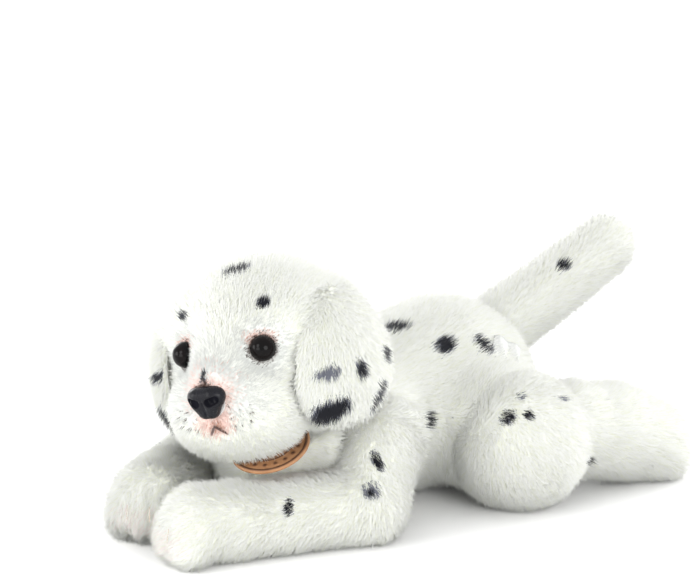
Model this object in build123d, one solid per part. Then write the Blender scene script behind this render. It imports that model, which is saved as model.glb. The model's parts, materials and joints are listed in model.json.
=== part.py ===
from build123d import *
import math
import os

# A lying plush puppy, 39 cm long, sewn from spotted white fur cloth.
# Millimetres. +Z is up, the nose points to -Y and the dog's left side is +X.
# The origin is on the ground, under the centre of the dog's bounding box.

# ---- cloth, filling and running gaps ----
skin_thickness = 3.0        # backing cloth with its pressed-down pile
layer_gap = 0.3             # between a skin and the fibre ball inside it
joint_gap = 0.8             # between two parts that turn against each other
floor_press = 1.4           # how far a round underside is pressed flat

# ---- torso ----
chest_radius = 48.0
chest_centre = Vector(0, -36, chest_radius - floor_press)
rump_radius = 56.0
rump_centre = Vector(0, 52, rump_radius - floor_press)

# ---- front legs: one shape, turned inward by a different amount ----
arm_radius = 24.5
arm_length = 111.0
paw_swell = 0.5
elbow_taper = 1.5
elbow_side = 70.0
elbow_y = -64.0
shoulder_radius = 28.0
shoulder_centre = Vector(50, -40, 50)
left_arm_turn = 17.0
right_arm_turn = 30.0

# ---- hind legs ----
thigh_radius = 42.0
thigh_centre = Vector(75, 50, thigh_radius - floor_press)
shank_radius = 30.0
shank_start = Vector(75, 92, 38)
foot_radius = 24.0
foot_centre = Vector(83, 145, foot_radius - floor_press)

# ---- tail ----
tail_root_radius = 21.0
tail_root_centre = Vector(0, 98, 83)
tail_tip_radius = 19.0
tail_tip_centre = Vector(4, 177.4, 118)

# ---- head: its own frame has the nose at -Y and is turned and tilted as one ----
cranium_radius = 57.0
head_centre = Vector(7.5, -87, 107)
head_turn = 19.0
head_tilt = 13.0
head_lift = 4.0
muzzle_slope = 27.0
cheek_along = 43.0
cheek_radius = 37.5
muzzle_lean = 23.0
muzzle_radius = 33.0
muzzle_along = 47.0
muzzle_centre = Vector(0, -1, 0).rotate(Axis.X, muzzle_slope) * muzzle_along

# ---- ears: a fur layer over a lining, both bowed over the cranium ----
ear_bow_centre = Vector(-8, -1, -8)
ear_inner_radius = 69.5
ear_lining_thickness = 3.4
ear_fur_thickness = 3.6
ear_layer_gap = 0.2
ear_half_width = 41.0
ear_half_height = 39.0
ear_middle_height = -4.5
ear_middle_back = -7.0

# ---- moulded eyes and nose with their stems and lock washers ----
eye_direction = Vector(27.0, -46.5, 7.0)
eye_ball_radius = 7.8
eye_ball_sunk = 2.0
eye_stem_radius = 2.2
eye_bed_radius = 8.0
eye_bed_depth = 0.85
eye_sink = 0.6
eye_washer_radius = 8.5
eye_washer_depth = 4.2
nose_stem_radius = 2.6
nose_bed_radius = 14.0
nose_bed_depth = 1.4
nose_sink = 1.1
nose_washer_radius = 10.0
nose_washer_depth = 5.3
nose_direction = Vector(0, -1.0, 0.13)
washer_thickness = 1.6
stem_length = 12.0
stem_gap = 0.05
pocket_gap = 0.25

# ---- round tag on its plastic pin, under the chin ----
tag_centre = Vector(40, -113, 60.5)
tag_normal = Vector(0.14, -0.42, 0.90)
tag_radius = 24.0
tag_thickness = 2.0
tag_rim_height = 0.5
tag_hole_radius = 1.4
tag_hole_offset = 19.5
tag_pin_radius = 0.9
tag_pocket_radius = 28.0
tag_pocket_gap = 1.6

# ---- stitches and the satin label ----
mouth_thread_radius = 0.8
toe_thread_radius = 0.5
toe_thread_arc = 26
label_width = 16.0
label_length = 19.0
label_thickness = 0.6


def capsule(start, start_radius, end, end_radius):
    """A solid of revolution over two balls and the cone that touches both."""
    along = end - start
    length = along.length
    lean = math.asin((start_radius - end_radius) / length)
    foot_point = (start_radius * math.cos(lean), start_radius * math.sin(lean))
    head_point = (end_radius * math.cos(lean), length + end_radius * math.sin(lean))
    low_middle = (math.pi / 2 - lean) / 2
    high_middle = (math.pi / 2 + lean) / 2
    low_arc = ThreePointArc(
        (0, -start_radius),
        (start_radius * math.sin(low_middle + lean * 0.5), -start_radius * math.cos(low_middle + lean * 0.5)),
        foot_point,
    )
    high_arc = ThreePointArc(
        head_point,
        (end_radius * math.sin(high_middle - lean * 0.5), length + end_radius * math.cos(high_middle - lean * 0.5)),
        (0, length + end_radius),
    )
    side = Line(foot_point, head_point)
    spine = Line((0, length + end_radius), (0, -start_radius))
    profile = make_face(Plane.XZ * (low_arc + side + high_arc + spine))
    upright = revolve(profile, Axis.Z)
    return Plane(origin=start, z_dir=along).location * upright


def ball(centre, radius):
    return Pos(*centre) * Sphere(radius)


def above(height, solid):
    """Keep what is above a level height."""
    block = Pos(0, 0, height - 200) * Box(800, 800, 400)
    return solid - block


def mirrored(point, side):
    return Vector(point.X * side, point.Y, point.Z)


def arm_points(side):
    turn = math.radians(left_arm_turn if side > 0 else right_arm_turn)
    height = arm_radius - floor_press
    elbow = Vector(side * elbow_side, elbow_y, height)
    reach = Vector(-side * math.sin(turn), -math.cos(turn), 0) * arm_length
    return elbow, elbow + reach


def arm(side, grow=0.0):
    """Upper arm down from the shoulder, then the forearm flat on the ground to the paw."""
    elbow, paw = arm_points(side)
    shoulder = mirrored(shoulder_centre, side)
    upper = capsule(shoulder, shoulder_radius + grow, elbow, arm_radius - elbow_taper + grow)
    forearm = capsule(elbow, arm_radius + grow, paw, arm_radius + paw_swell + grow)
    return above(-grow, upper + forearm)


def hind_leg(side, grow=0.0):
    thigh = ball(mirrored(thigh_centre, side), thigh_radius + grow)
    shank = capsule(
        mirrored(shank_start, side), shank_radius + grow, mirrored(foot_centre, side), foot_radius + grow
    )
    return above(-grow, thigh + shank)


def tail(grow=0.0):
    return capsule(tail_root_centre, tail_root_radius + grow, tail_tip_centre, tail_tip_radius + grow)


def torso(grow=0.0):
    """The body, hollowed where the head, the legs and the tail turn in it."""
    trunk = above(-grow, capsule(chest_centre, chest_radius + grow, rump_centre, rump_radius + grow))
    trunk -= ball(head_centre, cranium_radius + joint_gap - grow)
    trunk -= tail(joint_gap - grow)
    for side in (1, -1):
        trunk -= arm(side, joint_gap - grow)
        trunk -= hind_leg(side, joint_gap - grow)
    return trunk


head_place = Location(tuple(head_centre)) * Rot(0, 0, head_turn) * Rot(0, -head_tilt, 0) * Rot(-head_lift, 0, 0)


def tag_place():
    """Z along the tag's face, X from the tag's middle towards its pin."""
    normal = tag_normal.normalized()
    towards_pin = (Vector(0, 0, 1) - normal * normal.Z).normalized()
    return Plane(origin=tag_centre, x_dir=towards_pin, z_dir=normal).location


def tag_pocket(grow=0.0):
    """The dent that the chin leaves for the tag."""
    top = tag_thickness / 2 + tag_rim_height + tag_pocket_gap - grow
    depth = 60
    room = Pos(0, 0, top - depth / 2) * Cylinder(tag_pocket_radius - grow, depth)
    return tag_place() * room


def head(grow=0.0):
    """One solid of revolution about a line that runs from the nape down through the muzzle."""
    slope = math.radians(muzzle_slope)
    cranium = cranium_radius + grow
    snout = muzzle_radius + grow
    brow = math.atan2(cheek_radius, cheek_along)
    brow_point = (cranium * math.sin(brow), cranium * math.cos(brow))
    lean = math.radians(muzzle_lean)
    snout_point = (snout * math.cos(lean), muzzle_along + snout * math.sin(lean))
    back_arc = ThreePointArc((0, -cranium), (cranium, 0), brow_point)
    cheek_line = Line(brow_point, snout_point)
    middle = (math.pi / 2 + lean) / 2
    snout_arc = ThreePointArc(
        snout_point,
        (snout * math.cos(middle), muzzle_along + snout * math.sin(middle)),
        (0, muzzle_along + snout),
    )
    spine = Line((0, muzzle_along + snout), (0, -cranium))
    profile = make_face(Plane.XZ * (back_arc + cheek_line + snout_arc + spine))
    forward = Vector(0, -math.cos(slope), -math.sin(slope))
    upward = Vector(0, -math.sin(slope), math.cos(slope))
    solid = Plane(origin=(0, 0, 0), x_dir=upward, z_dir=forward).location * revolve(profile, Axis.Z)
    return head_place * solid - tag_pocket(grow)


def seat(direction, distance):
    """A place on the head, in the head's frame, whose Z points outward."""
    outward = direction.normalized()
    return Plane(origin=outward * distance, z_dir=outward).location


def eye_place(side):
    return head_place * seat(mirrored(eye_direction, side), cranium_radius)


def nose_place():
    front = muzzle_centre + nose_direction.normalized() * muzzle_radius
    return head_place * Plane(origin=front, x_dir=(1, 0, 0), z_dir=nose_direction).location


def eye_solid():
    dome = Pos(0, 0, -eye_ball_sunk) * Sphere(eye_ball_radius)
    dome -= Pos(0, 0, -20) * Box(40, 40, 40)
    stem = Pos(0, 0, -stem_length / 2) * Cylinder(eye_stem_radius, stem_length + 0.2)
    return Pos(0, 0, -eye_sink) * (dome + stem)


def nose_solid():
    """Wide at the top and narrow below, with two nostrils."""
    lobe = capsule(Vector(-6.5, 3, 0), 6.2, Vector(6.5, 3, 0), 6.21)
    for side in (1, -1):
        lobe += capsule(Vector(side * 6.0, 2.5, 0), 6.4, Vector(0, -5, 0), 5.2)
    lobe -= Pos(0, 0, -20) * Box(60, 60, 40)
    for side in (1, -1):
        lobe -= Pos(side * 5.0, 0.5, 6.6) * Sphere(1.7)
    stem = Pos(0, 0, -stem_length / 2) * Cylinder(nose_stem_radius, stem_length + 0.2)
    return Pos(0, 0, -nose_sink) * (lobe + stem)


def washer(bore_radius, rim_radius, depth):
    disc = Cylinder(rim_radius, washer_thickness) - Cylinder(bore_radius + stem_gap, washer_thickness * 2)
    return Pos(0, 0, -depth - washer_thickness / 2) * disc


def skin_room(stem_radius, seat_radius, seat_depth):
    """The hole for a stem and the shallow bed that its head sits in."""
    stem = Pos(0, 0, -stem_length / 2) * Cylinder(stem_radius + pocket_gap, stem_length + 3)
    bed = Pos(0, 0, 5 - seat_depth) * Cylinder(seat_radius, 10)
    return stem + bed


def filling_room(stem_radius, rim_radius, depth):
    """The space that a stem and its lock washer press into the fibre ball."""
    stem = Pos(0, 0, -stem_length / 2) * Cylinder(stem_radius + pocket_gap, stem_length + 3)
    height = depth + washer_thickness + pocket_gap
    rim = Pos(0, 0, -height / 2) * Cylinder(rim_radius + pocket_gap, height)
    return stem + rim


def tag_pin():
    """A T shaped plastic pin: a bar in the filling, a filament, a flat paddle under the tag."""
    below = tag_thickness / 2 + 0.5
    reach = 14.0
    filament = Pos(tag_hole_offset, 0, reach / 2 - below) * Cylinder(tag_pin_radius, reach)
    paddle = Pos(tag_hole_offset, 0, -below - 0.5) * Cylinder(3.0, 1.0)
    bar = Pos(tag_hole_offset, 0, reach - below) * Rot(0, 90, 0) * Cylinder(tag_pin_radius, 9)
    return tag_place() * (filament + paddle + bar)


def tag_pin_room():
    reach = 14.0
    slot = Pos(tag_hole_offset, 0, reach / 2) * Cylinder(tag_pin_radius + pocket_gap, reach)
    bar = Pos(tag_hole_offset, 0, reach - tag_thickness / 2 - 0.5) * Rot(0, 90, 0)
    bar = bar * Cylinder(tag_pin_radius + pocket_gap, 10)
    return tag_place() * (slot + bar)


def tag_disc():
    disc = Cylinder(tag_radius, tag_thickness)
    for ring_radius in (tag_radius - 1.5, tag_radius - 6.0):
        ring = Cylinder(ring_radius, tag_rim_height * 2) - Cylinder(ring_radius - 1.0, 4)
        disc += Pos(0, 0, tag_thickness / 2) * ring
    disc -= Pos(tag_hole_offset, 0, 0) * Cylinder(tag_hole_radius, 10)
    return tag_place() * disc


def ear(side, inner_radius, outer_radius):
    """One bowed layer of an ear: a piece of a hollow ball inside an oval outline."""
    centre = mirrored(ear_bow_centre, side)
    layer = ball(centre, outer_radius) - ball(centre, inner_radius)
    oval = Plane.YZ * Pos(ear_middle_back, ear_middle_height) * Ellipse(ear_half_width, ear_half_height)
    prism = extrude(oval, side * 120)
    return head_place * (layer & prism)


def mouth_stitch():
    """An upturned V of thick thread below the nose."""
    lift = muzzle_radius + mouth_thread_radius + 0.9

    def on_muzzle(across, down):
        forward = math.sqrt(lift ** 2 - across ** 2 - down ** 2)
        return muzzle_centre + Vector(across, -forward, -down)

    apex = on_muzzle(0, 17)
    legs = [capsule(apex, mouth_thread_radius, on_muzzle(side * 9, 23.5), mouth_thread_radius - 0.01)
            for side in (1, -1)]
    return head_place * (legs[0] + legs[1])


def toe_threads(centre, radius, heading):
    """Two threads that part the toes, each an arc over the front of a paw."""
    arc_radius = radius + toe_thread_radius + 0.3
    threads = []
    for spread in (-20, 20):
        dot = Plane.XZ * Pos(arc_radius, 0) * Circle(toe_thread_radius)
        thread = revolve(dot, Axis.Z, toe_thread_arc)
        upright = Rot(90, 0, 0) * Rot(0, 0, -toe_thread_arc / 2) * thread
        threads.append(Pos(*centre) * Rot(0, 0, heading + spread) * upright)
    return Compound(children=threads)


def care_label():
    """A folded satin strip that stands out of the seam beside the tail."""
    outward = Vector(0.80, 0.20, 0.56).normalized()
    root = rump_centre + outward * (rump_radius + 0.6)
    downhill = Vector(0.25, 0.15, -1)
    edge = (downhill - outward * downhill.dot(outward)).normalized()
    strip = Pos(0, 0, label_length / 2) * Box(label_width, label_thickness, label_length)
    leaned = Rot(52, 0, 0) * strip
    return Plane(origin=root, x_dir=edge, z_dir=outward).location * leaned


def shell_and_filling(shape):
    """A skin of even thickness and the fibre ball inside it."""
    skin = shape(0.0) - shape(-skin_thickness)
    filling = shape(-skin_thickness - layer_gap)
    return skin, filling


parts = {}
parts["torso_skin"], parts["torso_stuffing"] = shell_and_filling(torso)
parts["tail_skin"], parts["tail_stuffing"] = shell_and_filling(tail)

head_skin, head_stuffing = shell_and_filling(head)
head_skin -= nose_place() * skin_room(nose_stem_radius, nose_bed_radius, nose_bed_depth)
head_stuffing -= nose_place() * filling_room(nose_stem_radius, nose_washer_radius, nose_washer_depth)
for side in (1, -1):
    head_skin -= eye_place(side) * skin_room(eye_stem_radius, eye_bed_radius, eye_bed_depth)
    head_stuffing -= eye_place(side) * filling_room(eye_stem_radius, eye_washer_radius, eye_washer_depth)
head_skin -= tag_pin_room()
head_stuffing -= tag_pin_room()
parts["head_skin"] = head_skin
parts["head_stuffing"] = head_stuffing

for side, name in ((1, "left"), (-1, "right")):
    skin, filling = shell_and_filling(lambda grow: arm(side, grow))
    parts[f"front_leg_{name}_skin"] = skin
    parts[f"front_leg_{name}_stuffing"] = filling
    skin, filling = shell_and_filling(lambda grow: hind_leg(side, grow))
    parts[f"hind_leg_{name}_skin"] = skin
    parts[f"hind_leg_{name}_stuffing"] = filling

    lining_outer = ear_inner_radius + ear_lining_thickness
    fur_inner = lining_outer + ear_layer_gap
    parts[f"ear_{name}_lining"] = ear(side, ear_inner_radius, lining_outer)
    parts[f"ear_{name}_fur"] = ear(side, fur_inner, fur_inner + ear_fur_thickness)

    parts[f"eye_{name}"] = eye_place(side) * eye_solid()
    parts[f"eye_washer_{name}"] = eye_place(side) * washer(eye_stem_radius, eye_washer_radius, eye_washer_depth)

    elbow, paw = arm_points(side)
    arm_heading = math.degrees(math.atan2(paw.Y - elbow.Y, paw.X - elbow.X))
    parts[f"toe_threads_front_{name}"] = toe_threads(paw, arm_radius + paw_swell, arm_heading)
    foot = mirrored(foot_centre, side)
    parts[f"toe_threads_hind_{name}"] = toe_threads(foot, foot_radius, 90 - side * 9)

parts["nose"] = nose_place() * nose_solid()
parts["nose_washer"] = nose_place() * washer(nose_stem_radius, nose_washer_radius, nose_washer_depth)
parts["mouth_stitch"] = mouth_stitch()
parts["round_tag"] = tag_disc()
parts["tag_pin"] = tag_pin()
parts["care_label"] = care_label()

os.makedirs("parts", exist_ok=True)
for name, shape in parts.items():
    export_step(shape, f"parts/{name}.step")
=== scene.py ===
import json
import math
import bmesh
import bpy
import numpy as np
from mathutils import Matrix, Vector


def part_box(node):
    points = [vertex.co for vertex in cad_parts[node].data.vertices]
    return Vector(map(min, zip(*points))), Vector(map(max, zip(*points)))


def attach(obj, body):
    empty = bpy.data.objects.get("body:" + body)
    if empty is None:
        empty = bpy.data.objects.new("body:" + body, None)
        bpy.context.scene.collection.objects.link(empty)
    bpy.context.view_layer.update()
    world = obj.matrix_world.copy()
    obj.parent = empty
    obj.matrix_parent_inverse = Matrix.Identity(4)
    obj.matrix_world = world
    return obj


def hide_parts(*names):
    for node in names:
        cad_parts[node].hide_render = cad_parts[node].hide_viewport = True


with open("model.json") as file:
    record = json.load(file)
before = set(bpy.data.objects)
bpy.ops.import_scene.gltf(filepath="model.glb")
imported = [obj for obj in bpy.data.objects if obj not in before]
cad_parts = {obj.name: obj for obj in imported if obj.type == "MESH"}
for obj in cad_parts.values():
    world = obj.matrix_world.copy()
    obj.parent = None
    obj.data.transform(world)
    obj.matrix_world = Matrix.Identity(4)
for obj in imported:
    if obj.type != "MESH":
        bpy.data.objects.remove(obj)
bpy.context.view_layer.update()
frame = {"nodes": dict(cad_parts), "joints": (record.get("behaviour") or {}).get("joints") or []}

scene = bpy.context.scene
MM = 0.001


# ---------------------------------------------------------------- places taken from the frame

joints = {joint["name"]: joint for joint in frame["joints"]}
side_name = {1: "left", -1: "right"}


def joint_place(name):
    return np.array(joints[name]["pos_m"], float)


def unit(vector):
    vector = np.asarray(vector, float)
    return vector / np.linalg.norm(vector)


def row_unit(vectors):
    return vectors / np.maximum(np.linalg.norm(vectors, axis=1, keepdims=True), 1e-9)


def in_mm(x, y, z):
    """A place of the whole dog, given in millimetres."""
    return np.array([x, y, z], float) * MM


def middle(node):
    low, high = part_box(node)
    return (np.array(low) + np.array(high)) / 2


def lowest(node):
    return np.array(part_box(node)[0])


def highest(node):
    return np.array(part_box(node)[1])


head_centre = joint_place("head_turn")
head_back = -unit(joints["ear_left_flap"]["axis"])
ear_line = unit(joint_place("ear_left_flap") - joint_place("ear_right_flap"))
head_left = unit(ear_line - head_back * ear_line.dot(head_back))
head_up = np.cross(head_left, head_back)
HEAD_AXES = np.stack([head_left, head_back, head_up], axis=1)


def on_head(x, y, z):
    """A place given in the head's own millimetres: +X its left, -Y its nose, +Z its crown."""
    return head_centre + HEAD_AXES @ in_mm(x, y, z)


def head_frame(points):
    """Row-frame points in the head's own millimetres."""
    return (points - head_centre) @ HEAD_AXES / MM


# ---------------------------------------------------------------- soft shapes made of round cones

PILE = 3.4 * MM             # how far the backing cloth lies below the CAD skin
FLOOR_REST = 1.2 * MM       # backing cloth above the ground where the toy rests
FLOOR_SOFT = 2.5 * MM       # height over which the flat underside rounds off
FIT_REACH = 6 * MM          # farthest that a point moves in one round of fitting
BALL_STEP = 7 * MM          # spacing of the balls that rough out a cone


def melt(a, b, width):
    """Two distances as one, with the crease between the shapes filled over a width."""
    h = np.clip(0.5 + 0.5 * (b - a) / width, 0, 1)
    return b * (1 - h) + a * h - width * h * (1 - h)


class Cone:
    """Two balls and what lies between them."""

    def __init__(self, start, start_radius, end=None, end_radius=None):
        self.start = np.asarray(start, float)
        self.end = self.start if end is None else np.asarray(end, float)
        self.start_radius = start_radius
        self.end_radius = start_radius if end_radius is None else end_radius

    def distance(self, points):
        along = self.end - self.start
        length2 = max(along.dot(along), 1e-12)
        t = np.clip((points - self.start) @ along / length2, 0, 1)
        nearest = self.start + t[:, None] * along
        radius = self.start_radius + (self.end_radius - self.start_radius) * t
        return np.linalg.norm(points - nearest, axis=1) - radius


class Shape:
    """A soft body: cones that melt into each other over a blend width, with sockets for its neighbours."""

    def __init__(self, cones, blend):
        self.cones = cones
        self.blend = blend
        self.sockets = []

    def distance(self, points):
        field = self.cones[0].distance(points)
        for cone in self.cones[1:]:
            field = melt(field, cone.distance(points), self.blend)
        return field

    def hollowed(self, points):
        """The body less the room of its neighbours."""
        field = self.distance(points)
        for socket, gap in self.sockets:
            field = np.maximum(field, gap - socket.distance(points))
        return field


class Disc:
    """The room over and under a flat disc, as a distance that is negative inside it."""

    def __init__(self, centre, normal, radius, top):
        self.centre = centre
        self.normal = normal
        self.radius = radius
        self.top = top

    def spans(self, points):
        """Height over the disc's middle plane, and reach from its axis."""
        offset = points - self.centre
        height = offset @ self.normal
        return height, np.linalg.norm(offset - height[:, None] * self.normal, axis=1)

    def distance(self, points):
        height, reach = self.spans(points)
        return np.maximum(height - self.top, reach - self.radius)


def gradient(field, points, step=0.2 * MM):
    """The unit direction in which a distance grows fastest."""
    slopes = []
    for axis in range(3):
        shift = np.zeros(3)
        shift[axis] = step
        slopes.append(field(points + shift) - field(points - shift))
    slope = np.stack(slopes, axis=1)
    return slope / np.maximum(np.linalg.norm(slope, axis=1, keepdims=True), 1e-12)


shoulders = {side: joint_place(f"front_leg_{name}_swing") for side, name in side_name.items()}
hips = {side: joint_place(f"hind_leg_{name}_swing") for side, name in side_name.items()}
tail_root = joint_place("tail_wag")

ARM_RADIUS = 24.5 * MM
PAW_RADIUS = 25 * MM
SHOULDER_RADIUS = 28 * MM
ARM_LENGTH = 111 * MM
ELBOW_SIDE = 70 * MM
ELBOW_Y = -64 * MM
THIGH_RADIUS = 42 * MM
SHANK_RADIUS = 30 * MM
FOOT_RADIUS = 24.5 * MM
TAIL_RADIUS = 21 * MM
TAIL_TIP_RADIUS = 19 * MM
CRANIUM_RADIUS = 57 * MM


def arm_points(side):
    """Elbow and paw centres: the paw is found from the skin node's foremost place."""
    skin = f"front_leg_{side_name[side]}_skin"
    elbow = np.array([side * ELBOW_SIDE, ELBOW_Y, ARM_RADIUS])
    paw_y = lowest(skin)[1] + PAW_RADIUS
    inward = math.sqrt(max(ARM_LENGTH ** 2 - (paw_y - ELBOW_Y) ** 2, 0))
    return elbow, np.array([elbow[0] - side * inward, paw_y, ARM_RADIUS])


def toes(paw, ahead, reach, size):
    """Three round toes low at the front of a paw, the middle one a little ahead."""
    across = np.cross(ahead, [0, 0, 1])
    cones = []
    for place in (-1, 0, 1):
        forward = ahead * (reach - size - (4.5 if place == 0 else 8.0) * MM)
        centre = np.array([paw[0], paw[1], size + 1.5 * MM]) + forward + across * place * 12 * MM
        knuckle = centre - ahead * 8 * MM + np.array([0, 0, 5 * MM])
        cones.append(Cone(centre, size - 1 * MM, knuckle, size - 2 * MM))
    return cones


def arm_shape(side):
    """Upper arm, forearm and a paw that is lifted a little over the wrist."""
    elbow, paw = arm_points(side)
    ahead = unit(paw - elbow)
    drop = np.array([0, 0, PILE])
    wrist = paw - ahead * 26 * MM
    radius = ARM_RADIUS - PILE
    wrist_radius = ARM_RADIUS - PILE - 1.0 * MM
    return Shape([
        Cone(shoulders[side], SHOULDER_RADIUS - PILE, elbow - drop, radius),
        Cone(elbow - drop, radius, wrist - drop, wrist_radius),
        Cone(wrist - drop * 0.5, wrist_radius, paw - drop * 0.3 - ahead * 3.5 * MM, radius),
        *toes(paw, ahead, ARM_RADIUS, 11.5 * MM),
    ], 6 * MM)


def hind_shape(side):
    """A round thigh, and a lower leg with a full instep that lies back along the ground."""
    hip = hips[side]
    foot_high = highest(f"hind_leg_{side_name[side]}_skin")
    foot = np.array([side * 83 * MM, foot_high[1] - FOOT_RADIUS, FOOT_RADIUS - 1 * MM])
    shank = np.array([hip[0], hip[1] + 42 * MM, 38 * MM])
    drop = np.array([0, 0, PILE * 0.6])
    instep = shank + (foot - shank) * 0.5 + np.array([0, 0, 3.5]) * MM
    return Shape([
        Cone(hip - drop, THIGH_RADIUS - PILE),
        Cone(shank, SHANK_RADIUS - PILE, foot - drop, FOOT_RADIUS - PILE),
        Cone(instep, 25.0 * MM, foot - drop, FOOT_RADIUS - PILE),
        *toes(foot, unit([foot[0] - shank[0], foot[1] - shank[1], 0]), FOOT_RADIUS, 11 * MM),
    ], 7 * MM)


def tail_shape():
    _, back_end, top = highest("tail_skin")
    tip = np.array([4 * MM, back_end - TAIL_TIP_RADIUS, top - TAIL_TIP_RADIUS])
    return Shape([Cone(tail_root, TAIL_RADIUS - PILE, tip, TAIL_TIP_RADIUS - PILE)], 5 * MM)


def torso_shape():
    """Trunk and chest, full round the shoulders and the haunches so that the legs grow out of it softly."""
    chest = in_mm(0, -36, 46)
    cones = [
        Cone(chest, 48 * MM - PILE, in_mm(0, 52, 54), 56 * MM - PILE),
        Cone(in_mm(0, -70, 60), 34 * MM - PILE, chest, 40 * MM),
    ]
    for side in (1, -1):
        cones.append(Cone(in_mm(side * 60, 48, 42), 37 * MM))
        cones.append(Cone(in_mm(side * 34, -36, 50), 30 * MM))
    cones.append(Cone(in_mm(27, -58, 47), 25.5 * MM))
    cones.append(Cone(in_mm(-14, -82, 25), 24 * MM, in_mm(14, -86, 27), 25 * MM))
    return Shape(cones, 22 * MM)


class HeadShape(Shape):
    """The cranium with its cheeks melts softly, and the jowls and chin meet it in tighter creases."""

    def __init__(self, cones, blend, jaw):
        super().__init__(cones, blend)
        self.jaw = jaw

    def distance(self, points):
        lower = self.jaw[0].distance(points)
        for cone in self.jaw[1:]:
            lower = melt(lower, cone.distance(points), 9 * MM)
        return melt(super().distance(points), lower, 4 * MM)


def head_shape():
    """Cranium, bridge of the nose, cheeks and ear roots, over two jowls and a chin."""
    cones = [
        Cone(head_centre, CRANIUM_RADIUS - PILE),
        Cone(on_head(0, -34, 2), 26 * MM, on_head(0, -57, -10), 17.5 * MM),
    ]
    for side in (1, -1):
        cones.append(Cone(on_head(side * 25, -15, -16), 29 * MM))
        cones.append(Cone(on_head(side * 37, -18, 17), 19 * MM, on_head(side * 38, 12, 18), 19 * MM))
    jaw = [Cone(on_head(side * 13.5, -40.5, -26.5), 28 * MM) for side in (1, -1)]
    jaw.append(Cone(on_head(0, -38, -37), 22 * MM))
    return HeadShape(cones, 12 * MM, jaw)


TAG_RADIUS = 24 * MM
TAG_SWEEP = 3.4 * MM        # how far the tag's edge moves sideways when it swings on its pin
TAG_HEADROOM = 2.6 * MM     # no hair stands this close to the tag's middle plane
tag_centre = middle("round_tag")
tag_normal = unit(joints["tag_swing"]["axis"])
tag_pin = joint_place("tag_swing")
tag_room = Disc(tag_centre, tag_normal, TAG_RADIUS + 3 * MM, 2.2 * MM)

shapes = {"torso": torso_shape(), "head": head_shape(), "tail": tail_shape()}
for side, name in side_name.items():
    shapes[f"front_leg_{name}"] = arm_shape(side)
    shapes[f"hind_leg_{name}"] = hind_shape(side)
SOCKET_GAP = 0.6 * MM
for name, shape in shapes.items():
    if name == "torso":
        continue
    first = shape.cones[0]
    shapes["torso"].sockets.append((Cone(first.start, first.start_radius), SOCKET_GAP))
    if "leg" in name:
        shapes["torso"].sockets.append((shape.cones[1], SOCKET_GAP))
shapes["head"].sockets.append((tag_room, 0))


# ---------------------------------------------------------------- mesh helpers

def new_object(name, mesh):
    piece = bpy.data.objects.new(name, mesh)
    scene.collection.objects.link(piece)
    return piece


def mesh_from(name, points, faces):
    mesh = bpy.data.meshes.new(name)
    mesh.from_pydata([tuple(p) for p in points], [], [tuple(f) for f in faces])
    mesh.update()
    return mesh


def mesh_points(mesh):
    flat = np.empty(len(mesh.vertices) * 3, np.float32)
    mesh.vertices.foreach_get("co", flat)
    return flat.reshape(-1, 3).astype(float)


def set_points(mesh, points):
    mesh.vertices.foreach_set("co", np.asarray(points, np.float32).ravel())
    mesh.update()


def mesh_normals(mesh):
    flat = np.empty(len(mesh.vertices) * 3, np.float32)
    mesh.vertex_normals.foreach_get("vector", flat)
    return flat.reshape(-1, 3).astype(float)


def set_layer(piece, name, values):
    """A number at every point, for the materials to read."""
    layer = piece.data.attributes.new(name, "FLOAT", "POINT")
    layer.data.foreach_set("value", np.asarray(values, np.float32))


def applied(piece):
    """The piece with its modifiers worked into its mesh."""
    depsgraph = bpy.context.evaluated_depsgraph_get()
    mesh = bpy.data.meshes.new_from_object(piece.evaluated_get(depsgraph))
    old = piece.data
    piece.modifiers.clear()
    piece.data = mesh
    bpy.data.meshes.remove(old)
    return piece


def smooth(piece):
    piece.data.polygons.foreach_set("use_smooth", [True] * len(piece.data.polygons))
    return piece


def strip(first, spokes, spoke, rings):
    """The quads of one spoke between neighbouring rings of points, numbered from a first point."""
    after = (spoke + 1) % spokes
    lows = [first + ring * spokes for ring in range(rings - 1)]
    return [(low + spoke, low + spokes + spoke, low + spokes + after, low + after) for low in lows]


def rough_union(name, cones, voxel):
    """Balls strung along every cone, remeshed into one closed skin."""
    bm = bmesh.new()
    for cone in cones:
        span = np.linalg.norm(cone.end - cone.start)
        steps = int(span / BALL_STEP) + 1 if span > 0 else 0
        for k in range(steps + 1):
            t = k / max(steps, 1)
            centre = cone.start + (cone.end - cone.start) * t
            radius = cone.start_radius + (cone.end_radius - cone.start_radius) * t
            place = Matrix.Translation(Vector(centre))
            bmesh.ops.create_icosphere(bm, subdivisions=3, radius=radius, matrix=place)
    mesh = bpy.data.meshes.new(name)
    bm.to_mesh(mesh)
    bm.free()
    piece = new_object(name, mesh)
    remesh = piece.modifiers.new("remesh", "REMESH")
    remesh.mode = "VOXEL"
    remesh.voxel_size = voxel
    return applied(piece)


def fit_to(piece, field, rounds=6):
    """Move every point onto the field's zero surface, evening the spacing out between the moves."""

    def move():
        points = mesh_points(piece.data)
        points -= gradient(field, points) * np.clip(field(points), -FIT_REACH, FIT_REACH)[:, None]
        set_points(piece.data, points)

    for _ in range(rounds):
        move()
        even = piece.modifiers.new("even", "SMOOTH")
        even.factor = 0.5
        even.iterations = 1
        applied(piece)
    move()


def uneven(points):
    """The small lumps of hand stuffing, as a height over the cloth."""
    x, y, z = (points / MM).T
    broad = np.sin(x / 9.1 + 1.3 * np.sin(y / 17.0)) * np.sin(y / 11.3 + 0.7) + np.sin(z / 10.2 + x / 23.0)
    fine = np.sin(x / 4.1 + y / 5.3) * np.sin(z / 4.7 - y / 9.0)
    return (broad * 0.4 + fine * 0.15) * MM


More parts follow.
